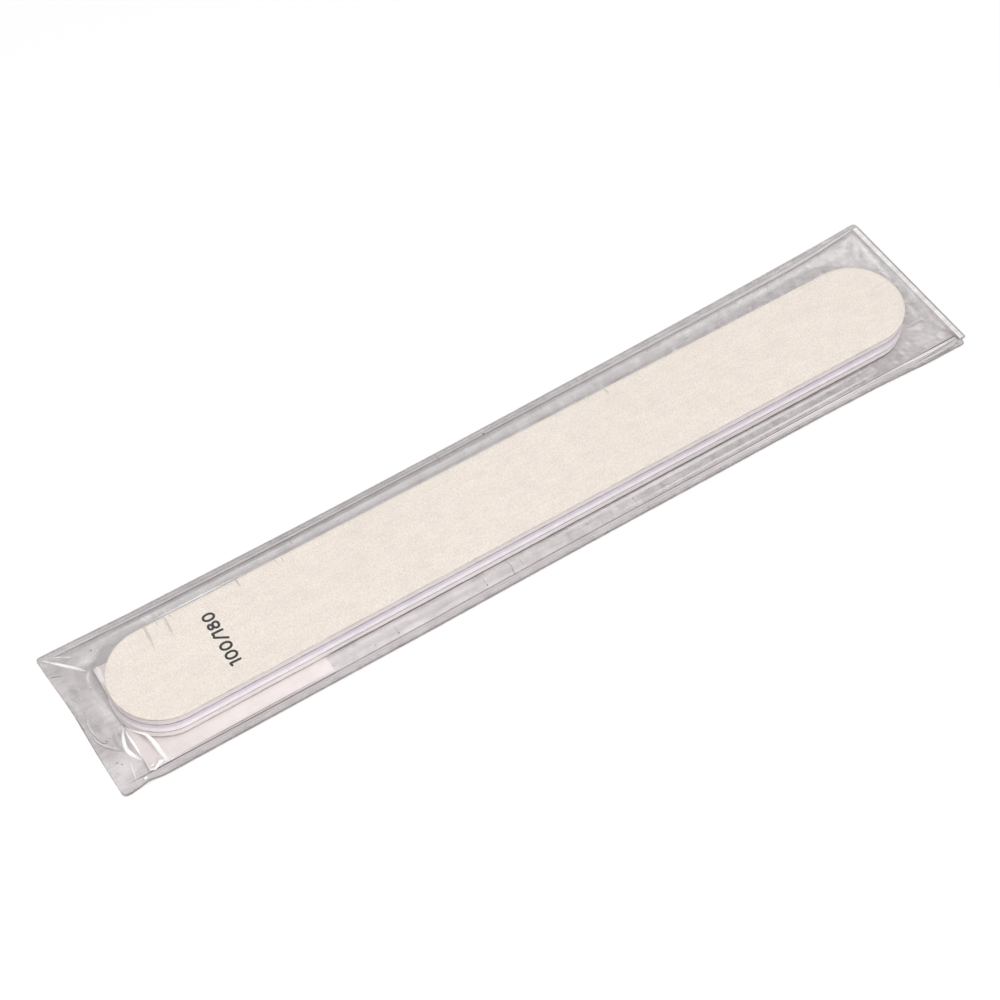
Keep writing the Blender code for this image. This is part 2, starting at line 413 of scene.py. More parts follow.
def grid_mesh(name, grids, round_closed=False, across_closed=False, turn_out=True, numbers=None):
    """One mesh from grids of points, each of shape (along, across, 3), with its doubles merged.

    numbers gives each point's own values, one array per grid, for the finish to read.
    """
    points = []
    faces = []
    count = 0
    for grid in grids:
        rows, columns = grid.shape[:2]
        points.append(grid.reshape(-1, 3))
        faces.append(grid_faces(rows, columns, round_closed, across_closed) + count)
        count += rows * columns
    mesh = bpy.data.meshes.new(name)
    mesh.from_pydata(np.vstack(points).tolist(), [], np.vstack(faces).tolist())
    for label, values in (numbers or {}).items():
        layer = mesh.attributes.new(label, "FLOAT", "POINT")
        flat = np.concatenate([value.ravel() for value in values])
        layer.data.foreach_set("value", flat.astype(np.float32))
    shape = bmesh.new()
    shape.from_mesh(mesh)
    bmesh.ops.remove_doubles(shape, verts=shape.verts, dist=merge_distance)
    if turn_out:
        bmesh.ops.recalc_face_normals(shape, faces=shape.faces)
    shape.to_mesh(mesh)
    shape.free()
    mesh.shade_smooth()
    mesh.set_sharp_from_angle(angle=sharp_angle)
    return mesh


def piece(name, mesh, body, finish, slot, *nodes):
    """Puts a mesh in the scene as a piece that rides on a body, with a finish, in place of CAD nodes."""
    item = bpy.data.objects.new(name, mesh)
    bpy.context.scene.collection.objects.link(item)
    item.data.materials.append(finishes[finish])
    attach(item, body)
    if nodes:
        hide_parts(*nodes)
    return item


def waves(place, lengths, seed):
    """A gentle up and down from -1 to 1 along place: sines of these lengths, with shifts from the seed."""
    shifts = np.random.default_rng(seed).uniform(0, 2 * math.pi, len(lengths))
    total = sum(np.sin(2 * math.pi * place / length + shift) for length, shift in zip(lengths, shifts))
    return total / len(lengths)


def bell(place, middle, width):
    """A bell curve over a place in metres: 1 at middle and 1/e at width from it, both in mm."""
    return np.exp(-((place / mm - middle) / width) ** 2)


def ramp(place, start, stop):
    """A straight line over a place in metres: 0 at start and 1 at stop, both in mm, and held beyond them."""
    return np.clip((place / mm - start) / (stop - start), 0, 1)


def unit(ways):
    """Each way over its own length."""
    return ways / np.linalg.norm(ways, axis=1, keepdims=True)


def leftwards(ways):
    """The direction to the left of each way, of length 1."""
    ahead = unit(ways)
    return np.stack([-ahead[:, 1], ahead[:, 0]], axis=-1)


def raised(flat, height):
    """Flat places as points, each at its height or all at one."""
    return np.concatenate([flat, np.broadcast_to(height, flat.shape[:-1])[..., None]], axis=-1)


# The file


def bar_stations(straight_steps, arc_steps):
    """Stations round the file: each one's place on the file's axis and its direction away from it.

    Along the straight sides the axis place moves and the direction stays. Round the ends it is the other
    way about.
    """
    along = np.linspace(-file_reach, file_reach, straight_steps + 1)
    turn = np.linspace(-math.pi / 2, math.pi / 2, arc_steps + 1)[1:-1]
    ones = np.ones(len(turn))
    axis = np.concatenate([along, ones * file_reach, along[::-1], -ones * file_reach])
    angle = np.concatenate([np.full(len(along), -math.pi / 2), turn,
                            np.full(len(along), math.pi / 2), turn + math.pi])
    return axis, angle


def cut_profile(node, edge, fill):
    """A layer's profile between its node's bottom and top: out along the top, down the edge, back below.

    edge gives the (inset, share of the height from the top) of each point of the cut edge. fill makes the
    layer that much taller at its top and at its bottom.
    """
    low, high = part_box(node)
    low = low.z - fill
    high = high.z + fill
    rings = (file_radius, 2 * mm, 0.6 * mm)
    rim = [(inset, high + (low - high) * share) for inset, share in edge]
    return [*((inset, high) for inset in rings), *rim, *((inset, low) for inset in reversed(rings))]


def file_layer(name, node, cut, ripple, finish, slot, seed, rough=0.0, steps=(260, 90), fill=0.0):
    """A closed layer of the file: its node's profile of (inset, height) carried round the file's outline.

    A point lies at its station's axis place plus its direction times the file's radius less the inset.
    The cut edge waves in and out by ripple, less so towards 1.2 mm in, and each point there is rough by its
    own small amount. "edge" is 1 on the cut edge and 0 on the faces.
    """
    axis, angle = bar_stations(*steps)
    inset, height = (np.tile(values, (len(axis), 1)) for values in np.array(cut_profile(node, cut, fill)).T)
    path = np.cumsum(np.hypot(np.diff(axis, prepend=axis[0]), file_radius * np.diff(angle, prepend=angle[0])))
    wave = waves(path, (31 * mm, 12.7 * mm, 5.3 * mm, 2.1 * mm), seed)[:, None]
    scatter = np.random.default_rng(seed).normal(0, 1, inset.shape)
    inset = inset + ramp(inset, 1.2, 0) * (ripple * wave + rough * scatter)
    inset = np.minimum(inset, file_radius)
    x = file_x + axis[:, None] + (file_radius - inset) * np.cos(angle)[:, None]
    y = file_y + (file_radius - inset) * np.sin(angle)[:, None]
    edge = (inset < 0.15 * mm).astype(float)
    mesh = grid_mesh(name, [np.stack([x, y, height], axis=-1)], True, numbers={"edge": [edge]})
    return piece(name, mesh, "file", finish, slot, node)


def file_layers():
    """The papers, foam pads and core, each with the cut edge of its own material.

    The papers' outer rims are rolled in, the core's foot is pressed out, and the pads' walls bow in by half
    a sine. gap_fill takes up half the gap between a pad and its glue.
    """
    rolled = [(0.04 * mm, 0.0), (0.015 * mm, 0.05), (0.0, 0.2), (0.0, 0.6), (0.0, 1.0)]
    unrolled = [(inset, 1 - share) for inset, share in reversed(rolled)]
    core_cut = [(0.05 * mm, 0.0), (0.02 * mm, 0.02), (0.02 * mm, 0.25), (0.025 * mm, 0.5), (0.02 * mm, 0.6),
                (-0.07 * mm, 0.78), (-0.09 * mm, 0.88), (-0.05 * mm, 0.97), (0.0, 1.0)]
    pad_cut = [(0.07 * mm * math.sin(math.pi * share), share) for share in np.linspace(0, 1, 13)]
    gap_fill = 0.009 * mm
    file_layer("top_abrasive", "top_abrasive_paper", rolled, 0.03 * mm, "abrasive_paper", "abrasive_paper",
               11, 0.006 * mm)
    file_layer("bottom_abrasive", "bottom_abrasive_paper", unrolled, 0.03 * mm, "fine_abrasive_paper",
               "abrasive_paper", 12, 0.006 * mm)
    file_layer("core", "core_board", core_cut, 0.025 * mm, "core_plastic", "core_plastic", 13)
    for seed, side in ((14, "top"), (15, "bottom")):
        pad = file_layer(f"{side}_foam", f"{side}_foam_pad", pad_cut, 0.04 * mm, "cushion_foam",
                         "cushion_foam", seed, 0.008 * mm, (700, 150), gap_fill)


# The grit numbers

stroke_half = 0.245 * mm
ink_height = 0.012 * mm
ink_seat = 0.003 * mm
stroke_lift = 0.0006 * mm
print_tilt = math.radians(2.9)
print_middle = np.array([-67.5 * mm, -2.42 * mm])


def line_stroke(*corners):
    """A straight-sided stroke through these corners."""
    corners = np.array(corners)
    lengths = np.hypot(*np.diff(corners, axis=0).T)
    reach = np.concatenate([[0], np.cumsum(lengths)])
    steps = np.unique(np.concatenate([np.linspace(0, reach[-1], 24), reach]))
    return np.stack([np.interp(steps, reach, corners[:, side]) for side in (0, 1)], axis=-1), False


def one_stroke(across, flag, up):
    """The figure 1 at a place across: from the tip of its flag, over its top and down to its foot."""
    return line_stroke((across - flag, up), (across - 0.02, 1.02), (across, -1.02))


def ring_stroke(across, up, half_across, half_up):
    """A closed oval stroke, squarer than an ellipse: its cosine and sine are raised to the power 0.92."""
    turn = np.linspace(0, 2 * math.pi, 49)[:-1]
    cosine, sine = (np.sign(wave) * np.abs(wave) ** 0.92 for wave in (np.cos(turn), np.sin(turn)))
    return np.stack([across + half_across * cosine, up + half_up * sine], axis=-1), True


def ink_stroke(path, closed, lift):
    """A low ribbon of ink along a path: a flat-topped profile whose open ends close as half circles.

    lift stands its top a little higher, so that strokes that cross don't share a face.
    """
    if closed:
        ahead = np.roll(path, -1, axis=0) - np.roll(path, 1, axis=0)
        width = np.full(len(path), stroke_half)
    else:
        ahead = np.gradient(path, axis=0)
        cap = np.sin(np.linspace(0, math.pi / 2, 7)[:-1])
        first, *_, last = unit(ahead)
        start = path[0] - first * stroke_half * np.sqrt(1 - cap ** 2)[:, None]
        end = path[-1] + last * stroke_half * np.sqrt(1 - cap[::-1] ** 2)[:, None]
        width = np.concatenate([cap, np.ones(len(path)), cap[::-1]]) * stroke_half
        ahead = np.vstack([np.repeat(ahead[:1], len(cap), axis=0), ahead,
                           np.repeat(ahead[-1:], len(cap), axis=0)])
        path = np.vstack([start, path, end])
    across = np.array([-1.0, -0.9, 0.9, 1.0, 0.0])
    height = np.array([0.0, 1.0, 1.0, 0.0, 0.0]) * (ink_height + lift)
    flat = path[:, None] + leftwards(ahead)[:, None] * (across[None, :] * width[:, None])[..., None]
    return flat, height


def grit_numbers():
    """The numbers 100/180 near the mouth: round strokes, in mm across the file and up from their middle."""
    strokes = [
        one_stroke(-5.58, 0.56, 0.9),
        ring_stroke(-4.05, 0.0, 0.72, 1.05),
        ring_stroke(-1.86, 0.0, 0.73, 1.04),
        line_stroke((-0.46, -1.2), (0.76, 1.12)),
        one_stroke(1.62, 0.5, 0.94),
        ring_stroke(3.1, 0.62, 0.53, 0.41),
        ring_stroke(3.14, -0.46, 0.66, 0.55),
        ring_stroke(5.22, 0.0, 0.69, 1.04),
    ]
    along = np.array([math.sin(print_tilt), math.cos(print_tilt)])
    upward = np.array([-math.cos(print_tilt), math.sin(print_tilt)])
    whole = bmesh.new()
    for order, (path, closed) in enumerate(strokes):
        flat, height = ink_stroke(path * mm, closed, order * stroke_lift)
        spot = print_middle + flat[..., :1] * along + flat[..., 1:] * upward
        grid = raised(spot, file_top + ink_seat + height)
        whole.from_mesh(grid_mesh("stroke", [grid], closed, True))
    mesh = bpy.data.meshes.new("grit_numbers")
    whole.to_mesh(mesh)
    whole.free()
    piece("grit_numbers", mesh, "file", "grit_ink", "grit_ink")


# The sleeve


def long_edge(side, x, inset=0.0):
    """The y of one long edge of the sleeve at x: the part's own line, drawn in a little by a table.

    The line is straight from the mouth to the waist. Then the width grows as a parabola to the flare, and
    the middle line runs straight from its skew to the middle of the closed end.
    """
    run = np.clip((x - waist_x) / (sleeve_end - waist_x), 0, None)
    middle = closed_end_skew * (run - 1)
    drawn = np.interp(x / mm, *zip(*(near_drawn_in if side < 0 else far_drawn_in))) * mm
    return middle + side * (waist_half + closed_end_flare * run ** 2 - inset - drawn)


def side_shares():
    """Shares of the long side, drawn closer together by two sines near both ends, where the film folds."""
    even = np.linspace(0, 1, 301)
    return even - 0.184 * np.sin(4 * math.pi * even) / (2 * math.pi) - 0.05 * np.sin(2 * math.pi * even)


def sleeve_outline(side_inset=0.0, mouth_inset=0.0, closed_inset=0.0):
    """The sleeve's outline drawn in by an inset on each side, counter-clockwise from the near mouth corner.

    The long sides follow long_edge at side_shares of their length, with round corners between them.
    """
    left = -sleeve_end + mouth_inset + corner_radius
    right = sleeve_end - closed_inset - corner_radius
    x = left + (right - left) * side_shares()
    near = np.stack([x, long_edge(-1, x, side_inset)], axis=-1)
    far = np.stack([x, long_edge(1, x, side_inset)], axis=-1)[::-1]
    share = np.linspace(0, 1, 97)
    quarter = np.linspace(0, math.pi / 2, 9)[1:-1]

    def corner(centre_x, centre_y, start):
        turn = start + quarter
        return np.stack([centre_x + corner_radius * np.cos(turn), centre_y + corner_radius * np.sin(turn)],
                        axis=-1)

    def end(place, start, stop):
        return np.stack([np.full(len(share), place), start + (stop - start) * share], axis=-1)

    lows = [long_edge(-1, place, side_inset) + corner_radius for place in (left, right)]
    highs = [long_edge(1, place, side_inset) - corner_radius for place in (left, right)]
    half = math.pi / 2
    return np.vstack([near, corner(right, lows[1], -half), end(right + corner_radius, lows[1], highs[1]),
                      corner(right, highs[1], 0.0), far, corner(left, highs[0], half),
                      end(left - corner_radius, highs[0], lows[0]), corner(left, lows[0], 2 * half)])


def trimmed(outline):
    """The outline as it was really cut: a bowed mouth, a notch beside it, and a stepped corner at the weld.

    Only the mouth and the near edge move, by bell curves. At the closed end the near edge is held above a
    smooth step.
    """
    x, y = outline.T
    bow = 0.4 * mm * bell(y, 2, 8)
    x = x + bow * (x < -sleeve_end + 0.1 * mm)
    tab = -0.1 * mm * bell(x, -95.3, 0.8)
    notch = 0.45 * mm * bell(x, -91.3, 1.8)
    moved = y + (tab + notch) * (y < -17 * mm)
    step = ramp(x, 95.2, 95.8)
    held = -18.9 * mm + 1.45 * mm * step ** 2 * (3 - 2 * step)
    return np.stack([x, np.maximum(moved, held)], axis=-1)


def outside_file(x, y):
    """How far a place lies outside the file's edge grown by the film's shoulder; below 0 over the file."""
    axis = np.clip(x, file_x - file_reach, file_x + file_reach)
    return np.hypot(x - axis, y - file_y) - file_radius - film_shoulder


def inside_welds(x, y):
    """How far a place lies in from the nearest weld line or from the mouth, so that corners fold as a hip."""
    near = y - long_edge(-1, x, side_weld_width)
    far = long_edge(1, x, side_weld_width) - y
    mouth = x + sleeve_end - mouth_lip
    closed = sleeve_end - end_weld_width - x
    return np.minimum(np.minimum(near, far), np.minimum(mouth, closed))


def beside(x, y, start, end):
    """A place's distance from the line between two points, and its share of the way along it."""
    way = end - start
    share = ((x - start[0]) * way[0] + (y - start[1]) * way[1]) / (way @ way)
    held = np.clip(share, 0, 1)
    return np.hypot(x - start[0] - way[0] * held, y - start[1] - way[1] * held), held


# Broad folds of the front film: from, to, half width and height, in mm. Below 0 is a dent. Here and in
# the tables of creases, a place is where the photograph shows it against the back film.
broad_folds = (
    ((-96, 15), (-89.8, 8.2), 1.7, 0.5),
    ((-95.6, 14.8), (-90.4, 12.5), 1.1, 0.35),
    ((-93.6, 13.2), (-90.2, 10.8), 1.2, -0.4),
    ((-95.3, -1.6), (-93.6, -7.2), 1.7, -0.45),
    ((-95.9, -4), (-92.2, -10.2), 1, 0.3),
    ((-92, -8.5), (-90.4, -13.8), 1.2, 0.5),
    ((-87.2, -9.6), (-86.5, -15.9), 1.4, 0.5),
    ((-94, -17), (-92.4, -12.6), 0.8, 0.12),
    ((95.3, 17.2), (89.6, 11.6), 2.2, 0.5),
    ((93.6, 15.6), (91.2, 10.6), 1.5, -0.4),
    ((95, -16), (88, -10.6), 2.2, 0.4),
    ((94.4, -9.3), (87.2, -9.1), 0.9, 0.35),
    ((92.6, -12.4), (87.8, -12.8), 1.7, -0.35),
    ((94.4, 3), (90, 6.5), 1.6, -0.3),
)


def tent_share(x, y):
    """A place's share of the way from the nearest weld line, 0, up to the crest beside the file, 1."""
    outside = np.maximum(outside_file(x, y), 0)
    inside = np.maximum(inside_welds(x, y), 0)
    return inside / np.maximum(inside + outside, 1e-9)


def tent_height(x, y):
    """The taut front film's underside, over the share: 0.55 of a straight rise and 0.45 of a quarter sine."""
    share = tent_share(x, y)
    rise = 0.55 * share + 0.45 * np.sin(math.pi / 2 * share)
    return film_seat + (film_crest - film_seat) * rise


def under_eye(places):
    """Film places that the photograph shows in line with these places on the back film, in mm.

    A place slides towards the camera's eye as it rises, until it meets the taut film, by halving.
    """
    x, y = np.moveaxis(np.array(places, float) * mm, -1, 0)

    def risen(height):
        share = (height - film_seat) / (camera_eye.z - film_seat)
        return x + (camera_eye.x - x) * share, y + (camera_eye.y - y) * share

    low = np.full(x.shape, film_seat)
    high = np.full(x.shape, film_crest)
    for _ in range(30):
        middle = (low + high) / 2
        below = tent_height(*risen(middle)) > middle
        low = np.where(below, middle, low)
        high = np.where(below, high, middle)
    return np.stack(risen(low), axis=-1)


def film_height(x, y):
    """The front film's underside over a place: the taut film, with folds and slow waves between its ends.

    A fold is highest on its line, where it closes in at both ends by the root of a half sine, and falls off
    to its half width by a power of 1.4. Over the file the film only sags, by slow waves.
    """
    share = tent_share(x, y)
    middle = np.clip(4 * share * (1 - share), 0, 1)
    wave = waves(x, (23 * mm, 13.1 * mm, 7.7 * mm, 4.9 * mm), 21)
    folds = 0.05 * mm * wave * middle
    for start, end, width, height in broad_folds:
        gap, along = beside(x, y, *under_eye((start, end)))
        crest = ramp(gap, width, 0) ** 1.4 * np.sin(math.pi * np.clip(along, 0.06, 0.94)) ** 0.5
        folds = folds + height * mm * crest * middle ** 0.7
    over = 0.03 * mm * waves(x + 0.3 * y, (37 * mm, 17 * mm, 9.1 * mm), 22) * (share >= 1)
    return tent_height(x, y) + folds - np.abs(over)


def weld_relief(inset, width):
    """How far the pressed weld stands up at an inset from the film's edge: a low rib, a half sine squared."""
    share = np.clip(inset / width, 0, 1)
    return weld_rib * np.sin(math.pi * share) ** 2


def on_axis(outline):
    """The point of the file's axis that is nearest to each point of an outline."""
    axis = np.clip(outline[:, 0], file_x - file_reach, file_x + file_reach)
    return np.stack([axis, np.full(len(axis), file_y)], axis=-1)


def film_wall(name, grid, numbers, node):
    """A film of the sleeve: a sheet of rings with its thickness added above it."""
    mesh = grid_mesh(name, [grid], True, False, turn_out=False, numbers=numbers)
    item = piece(name, mesh, "sleeve", name, "clear_film", node)
    wall = item.modifiers.new("wall", "SOLIDIFY")
    wall.thickness = film_thickness
    wall.offset = 1.0
    return item


def back_film():
    """The flat film under the file: rings from the sleeve's edge in to the file's axis, all at one height.

    Its "strength" is how grey it looks: even, but clearer at the mouth and at the closed end's corners,
    with a greyer line halfway to the weld, and blotchy towards the closed end. Painted light clears it more:
    along the far side, but not under the far weld; round the file's end at the mouth, against the file's
    shade there; and most on the near side, by a bell curve of x.
    """
    edge = trimmed(sleeve_outline())
    share = np.concatenate([[0, 0.004], np.linspace(0.02, 0.4, 20), [0.45, 0.5, 0.6, 0.8, 1.0]])
    flat = edge[:, None] + (on_axis(edge) - edge)[:, None] * share[None, :, None]
    x, y = flat[..., 0], flat[..., 1]
    even = 0.145
    # Painted light: the near side is cleared most, by a bell curve of x, less under the near weld.
    near = even * bell(x, -45, 62) * ramp(y, -8, -12) * (1 - 0.75 * ramp(y, -16.2, -16.6))
    halfway = 0.08 * bell(x, -32, 28) * bell(y, -14.6, 0.6)
    corners = 0.04 * bell(x, 92, 8) * bell(y, 15, 5) + 0.05 * bell(x, 90, 7) * bell(y, -13, 4)
    mouth = 0.01 * ramp(x, -86, -91)
    # Painted light: the far side is cleared against the file's shadow there, but not under the far weld.
    under_weld = np.clip((long_edge(1, x, side_weld_width) - y) / (0.4 * mm), -0.4, 1)
    far = 0.06 * ramp(y, 6, 9) * ramp(x, -88, -80) * under_weld
    # Painted light round the file's end at the mouth, against its shade there.
    painted_light_round_end = np.exp(-np.maximum(outside_file(x, y), 0) / (1.8 * mm))
    painted_light_round_end = 0.12 * painted_light_round_end * (x < -80 * mm) * (y > -6 * mm)
    grey = even - near + halfway - corners - mouth - np.maximum(far, painted_light_round_end)
    grey = grey + 0.01 * waves(x + 2 * y, (37 * mm, 16 * mm, 9 * mm), 41)
    blotch = waves(x + 0.6 * y, (7.3 * mm, 3.1 * mm, 1.7 * mm), 43)
    blotch = blotch * waves(y - 0.5 * x, (5.9 * mm, 2.7 * mm), 44)
    grey = grey + 0.14 * blotch * ramp(x, -20, 40)
    film_wall("back_film", raised(flat, back_film_low), {"strength": [grey]}, "sleeve_back_film")


def front_film():
    """The film over the file: rings from the sleeve's edge to its weld line, up to the file and over it.

    Each ring takes the same share of every line from the weld line to the nearest point of the file's edge.
    The mouth's lip is too narrow for a weld's rib. "line" is 1 on the cut edge and fades out beside it.
    """
    edge = trimmed(sleeve_outline())
    foot = sleeve_outline(side_weld_width, mouth_lip, end_weld_width)
    base = on_axis(foot)
    crest = base + unit(foot - base) * (file_radius + film_shoulder)
    margin_share = np.array([0, 0.05, 0.1, 0.15, 0.25, 0.4, 0.5, 0.6, 0.75, 0.9])
    rise_share = np.linspace(0, 1, 30)
    over_share = np.array([0.04, 0.1, 0.22, 0.4, 0.6, 0.8, 1.0])
    ways = ((edge, foot, margin_share), (foot, crest, rise_share), (crest, base, over_share))
    flat = np.concatenate([start[:, None] + (stop - start)[:, None] * share[None, :, None]
                           for start, stop, share in ways], axis=1)
    height = film_height(flat[..., 0], flat[..., 1])
    pressed = len(margin_share)
    inset = np.linalg.norm(flat[:, :pressed] - edge[:, None], axis=-1)
    width = np.linalg.norm(foot - edge, axis=1)[:, None]
    height[:, :pressed] = film_seat + weld_relief(inset, width) * (width > 1.2 * mm)
    line = np.zeros(height.shape)
    line[:, :pressed] = ramp(inset, 0.24, 0.08)
    settle_with_film(film_wall("front_film", raised(flat, height), {"line": [line]}, "sleeve_front_film"))


def settle_with_film(item):
    """Gives a piece of the front film a mesh of its own."""
    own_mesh(item)


# How far each side weld's inner line wanders inwards, by x, both in mm.
far_seam_wander = ((-92, -0.55), (-86, -0.45), (-75, -0.35), (-60, -0.3), (-40, -0.38), (-25, -0.5),
                   (-6, -0.4), (0, -0.46), (20, -0.24), (50, 0.06), (75, 0.3), (82, 0.3), (90, -0.2),
                   (95, -0.8))
near_seam_wander = ((-92, 0.1), (-60, -0.1), (0, 0.06), (50, 0.05), (62, 0.05), (74, 0.2), (86, 0.7),
                    (95, 0.85))


def strip(name, node, outer, inner, lines, light, pale_from, fade, finish):
    """A pressed weld between an outer and an inner line: a flat band with a low rib and fine pressed lines.

    The profile goes across from the outer line to just past the inner one, and back along the bottom.
    "line" marks each pressed line, at its share of the width and with its depth. It waves slowly along the
    weld and fades in at its two ends over the lengths in fade, in mm. "strength" is light, how pale the fused
    band looks at each station. It starts at pale_from, a share of the width, and is full a third of the width
    further in.
    """
    width = np.linalg.norm(inner - outer, axis=1)[:, None]
    share = np.concatenate([np.linspace(0.01, 1.12, 41), [1.12, 0.5, 0.01]])
    bottom = slice(-3, None)
    inset = share[None, :] * width
    top = weld_high + weld_relief(inset, width)
    top[:, bottom] = weld_low
    pressed = np.zeros(len(share))
    line_half = 0.035
    for middle, depth in lines:
        pressed = np.maximum(pressed, depth * np.clip(1.6 - np.abs(share - middle) / line_half, 0, 1))
    pressed[bottom] = 0
    way = np.hypot(*np.diff(outer, axis=0, prepend=outer[:1]).T).cumsum()
    ends = ramp(way, 0, fade[0]) * ramp(way[-1] - way, 0, fade[1])
    slow = 0.85 + 0.15 * waves(way, (23 * mm, 9.1 * mm, 4.3 * mm), 51)
    line = pressed[None, :] * (ends * slow)[:, None]
    pale = (light * ends)[:, None] * np.clip((share - pale_from) * 3, 0, 1)[None, :]
    pale[:, bottom] = 0
    flat = outer[:, None] + ((inner - outer) / width)[:, None] * inset[..., None]
    grid = raised(flat, top)
    # The profile shrinks to one point past each end, which closes the strip.
    start, stop = (np.broadcast_to(grid[end].mean(axis=0), grid[end].shape) for end in (0, -1))
    grid = np.concatenate([start[None], grid, stop[None]])
    line, pale = (np.pad(values, ((1, 1), (0, 0))) for values in (line, pale))
    mesh = grid_mesh(name, [grid], False, True, numbers={"line": [line], "strength": [pale]})
    piece(name, mesh, "sleeve", finish, "weld_film", node)


def welds():
    """The two side welds and the weld across the closed end.

    Each side weld's inner line wanders a little in or out, as its table says by x, smoothed over 25 stations.
    The near weld is palest some way before the closed end.
    """
    x = np.linspace(-sleeve_end + corner_radius, sleeve_end - end_weld_width, 320)
    towards_end = ramp(x, 15, 55)
    far_light = 0.3 + 0.15 * towards_end
    near_light = (0.3 + 0.45 * towards_end) * (1 - 0.35 * ramp(x, 66, 78))
    sides = (("far", 1, ((1.0, 1.0), (0.55, 0.3)), far_light, far_seam_wander),
             ("near", -1, ((1.0, 0.6), (0.7, 0.2)), near_light, near_seam_wander))
    for name, side, lines, light, wander in sides:
        extra = np.interp(x / mm, *zip(*wander)) * mm
        extra = np.convolve(np.pad(extra, 12, mode="edge"), np.ones(25) / 25, mode="valid")
        outer = np.stack([x, long_edge(side, x)], axis=-1)
        inner = np.stack([x, long_edge(side, x, side_weld_width + extra)], axis=-1)
        strip(f"{name}_weld", f"{name}_side_weld", outer, inner, lines, light, 0.3, (3, 0.5), "weld_film")
    y = np.linspace(-17.4 * mm, long_edge(1, sleeve_end) - corner_radius, 110)
    outer = np.stack([np.full(len(y), sleeve_end), y], axis=-1)
    inner = np.stack([np.full(len(y), sleeve_end - end_weld_width), y], axis=-1)
    light = 0.76 + 0.15 * waves(y, (9 * mm, 4 * mm, 1.7 * mm), 61)
    strip("end_weld", "closed_end_weld", outer, inner, ((1.0, 0.75), (0.83, 0.4), (0.1, 0.25)), light, -1.0,
          (0.3, 0.3), "end_weld_film")


def label_layer(name, node, finish, slot, curl_height):
    """The label's paper or its glue: a thin sheet whose free edges curl up by curl_height.

    The curl dies away from the mouth edge and the near edge, and grows from none beside the file to full
    5 mm out. The mouth edge is cut askew, so each row starts a little further along than the one below.
    "edge" marks that cut for a painted shade line, mostly its far half, and the wall beside it; "shade" is
    painted shade that fades away from the cut on the near side.
    """
    low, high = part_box(node)
    share = np.concatenate([[0, 0.0025, 0.0035], np.linspace(0.01, 1, 120)])
    across, run = np.meshgrid(np.linspace(low.y, high.y, 80), share)
    askew = 0.058
    start = low.x + askew * (across + 5.2 * mm)
    along = start + (high.x - start) * run
    from_edge = np.minimum(along - low.x, across - low.y)
    curl = curl_height * np.exp(-from_edge / (0.8 * mm)) * ramp(outside_file(along, across), 0, 5)
    lift = curl + 0.08 * curl_height * waves(along + across, (17 * mm, 9 * mm), 31) ** 2
    top, under = (np.stack([along, across, height + lift], axis=-1) for height in (high.z, low.z))
    wall = np.stack([np.vstack([sheet[0], sheet[:, -1], sheet[-1, ::-1], sheet[::-1, 0]])
                     for sheet in (top, under)], axis=1)
    # Painted shade along the mouth cut, on the sheet and the wall beside it, and fading from the cut.
    cut = (run < 0.003) * (0.35 + 0.5 * ramp(across, -6, -2))
    shade = np.clip(1 - 2 * run, 0, 1) * ramp(across, 2, -6)
    painted_wall_shade = 0.5 * (np.abs(wall[..., 0] - low.x) < 1.2 * mm)
    numbers = {"edge": [cut, cut, painted_wall_shade], "shade": [shade, shade, 0.0 * painted_wall_shade]}
    mesh = grid_mesh(name, [top, under, wall], numbers=numbers)
    piece(name, mesh, "sleeve", finish, slot, node)


def curved(corners, steps):
    """A smooth path through these corners, by Catmull and Rom's cubic between each two."""
    points = np.array(corners, float)
    before = np.vstack([2 * points[:1] - points[1:2], points, 2 * points[-1:] - points[-2:-1]])
    place = np.linspace(0, len(points) - 1, steps)
    start = np.minimum(place.astype(int), len(points) - 2)
    t = (place - start)[:, None]
    a, b, c, d = (before[start + step] for step in range(4))
    square = 2 * a - 5 * b + 4 * c - d
    cube = 3 * b - a - 3 * c + d
    return 0.5 * (2 * b + (c - a) * t + square * t ** 2 + cube * t ** 3)


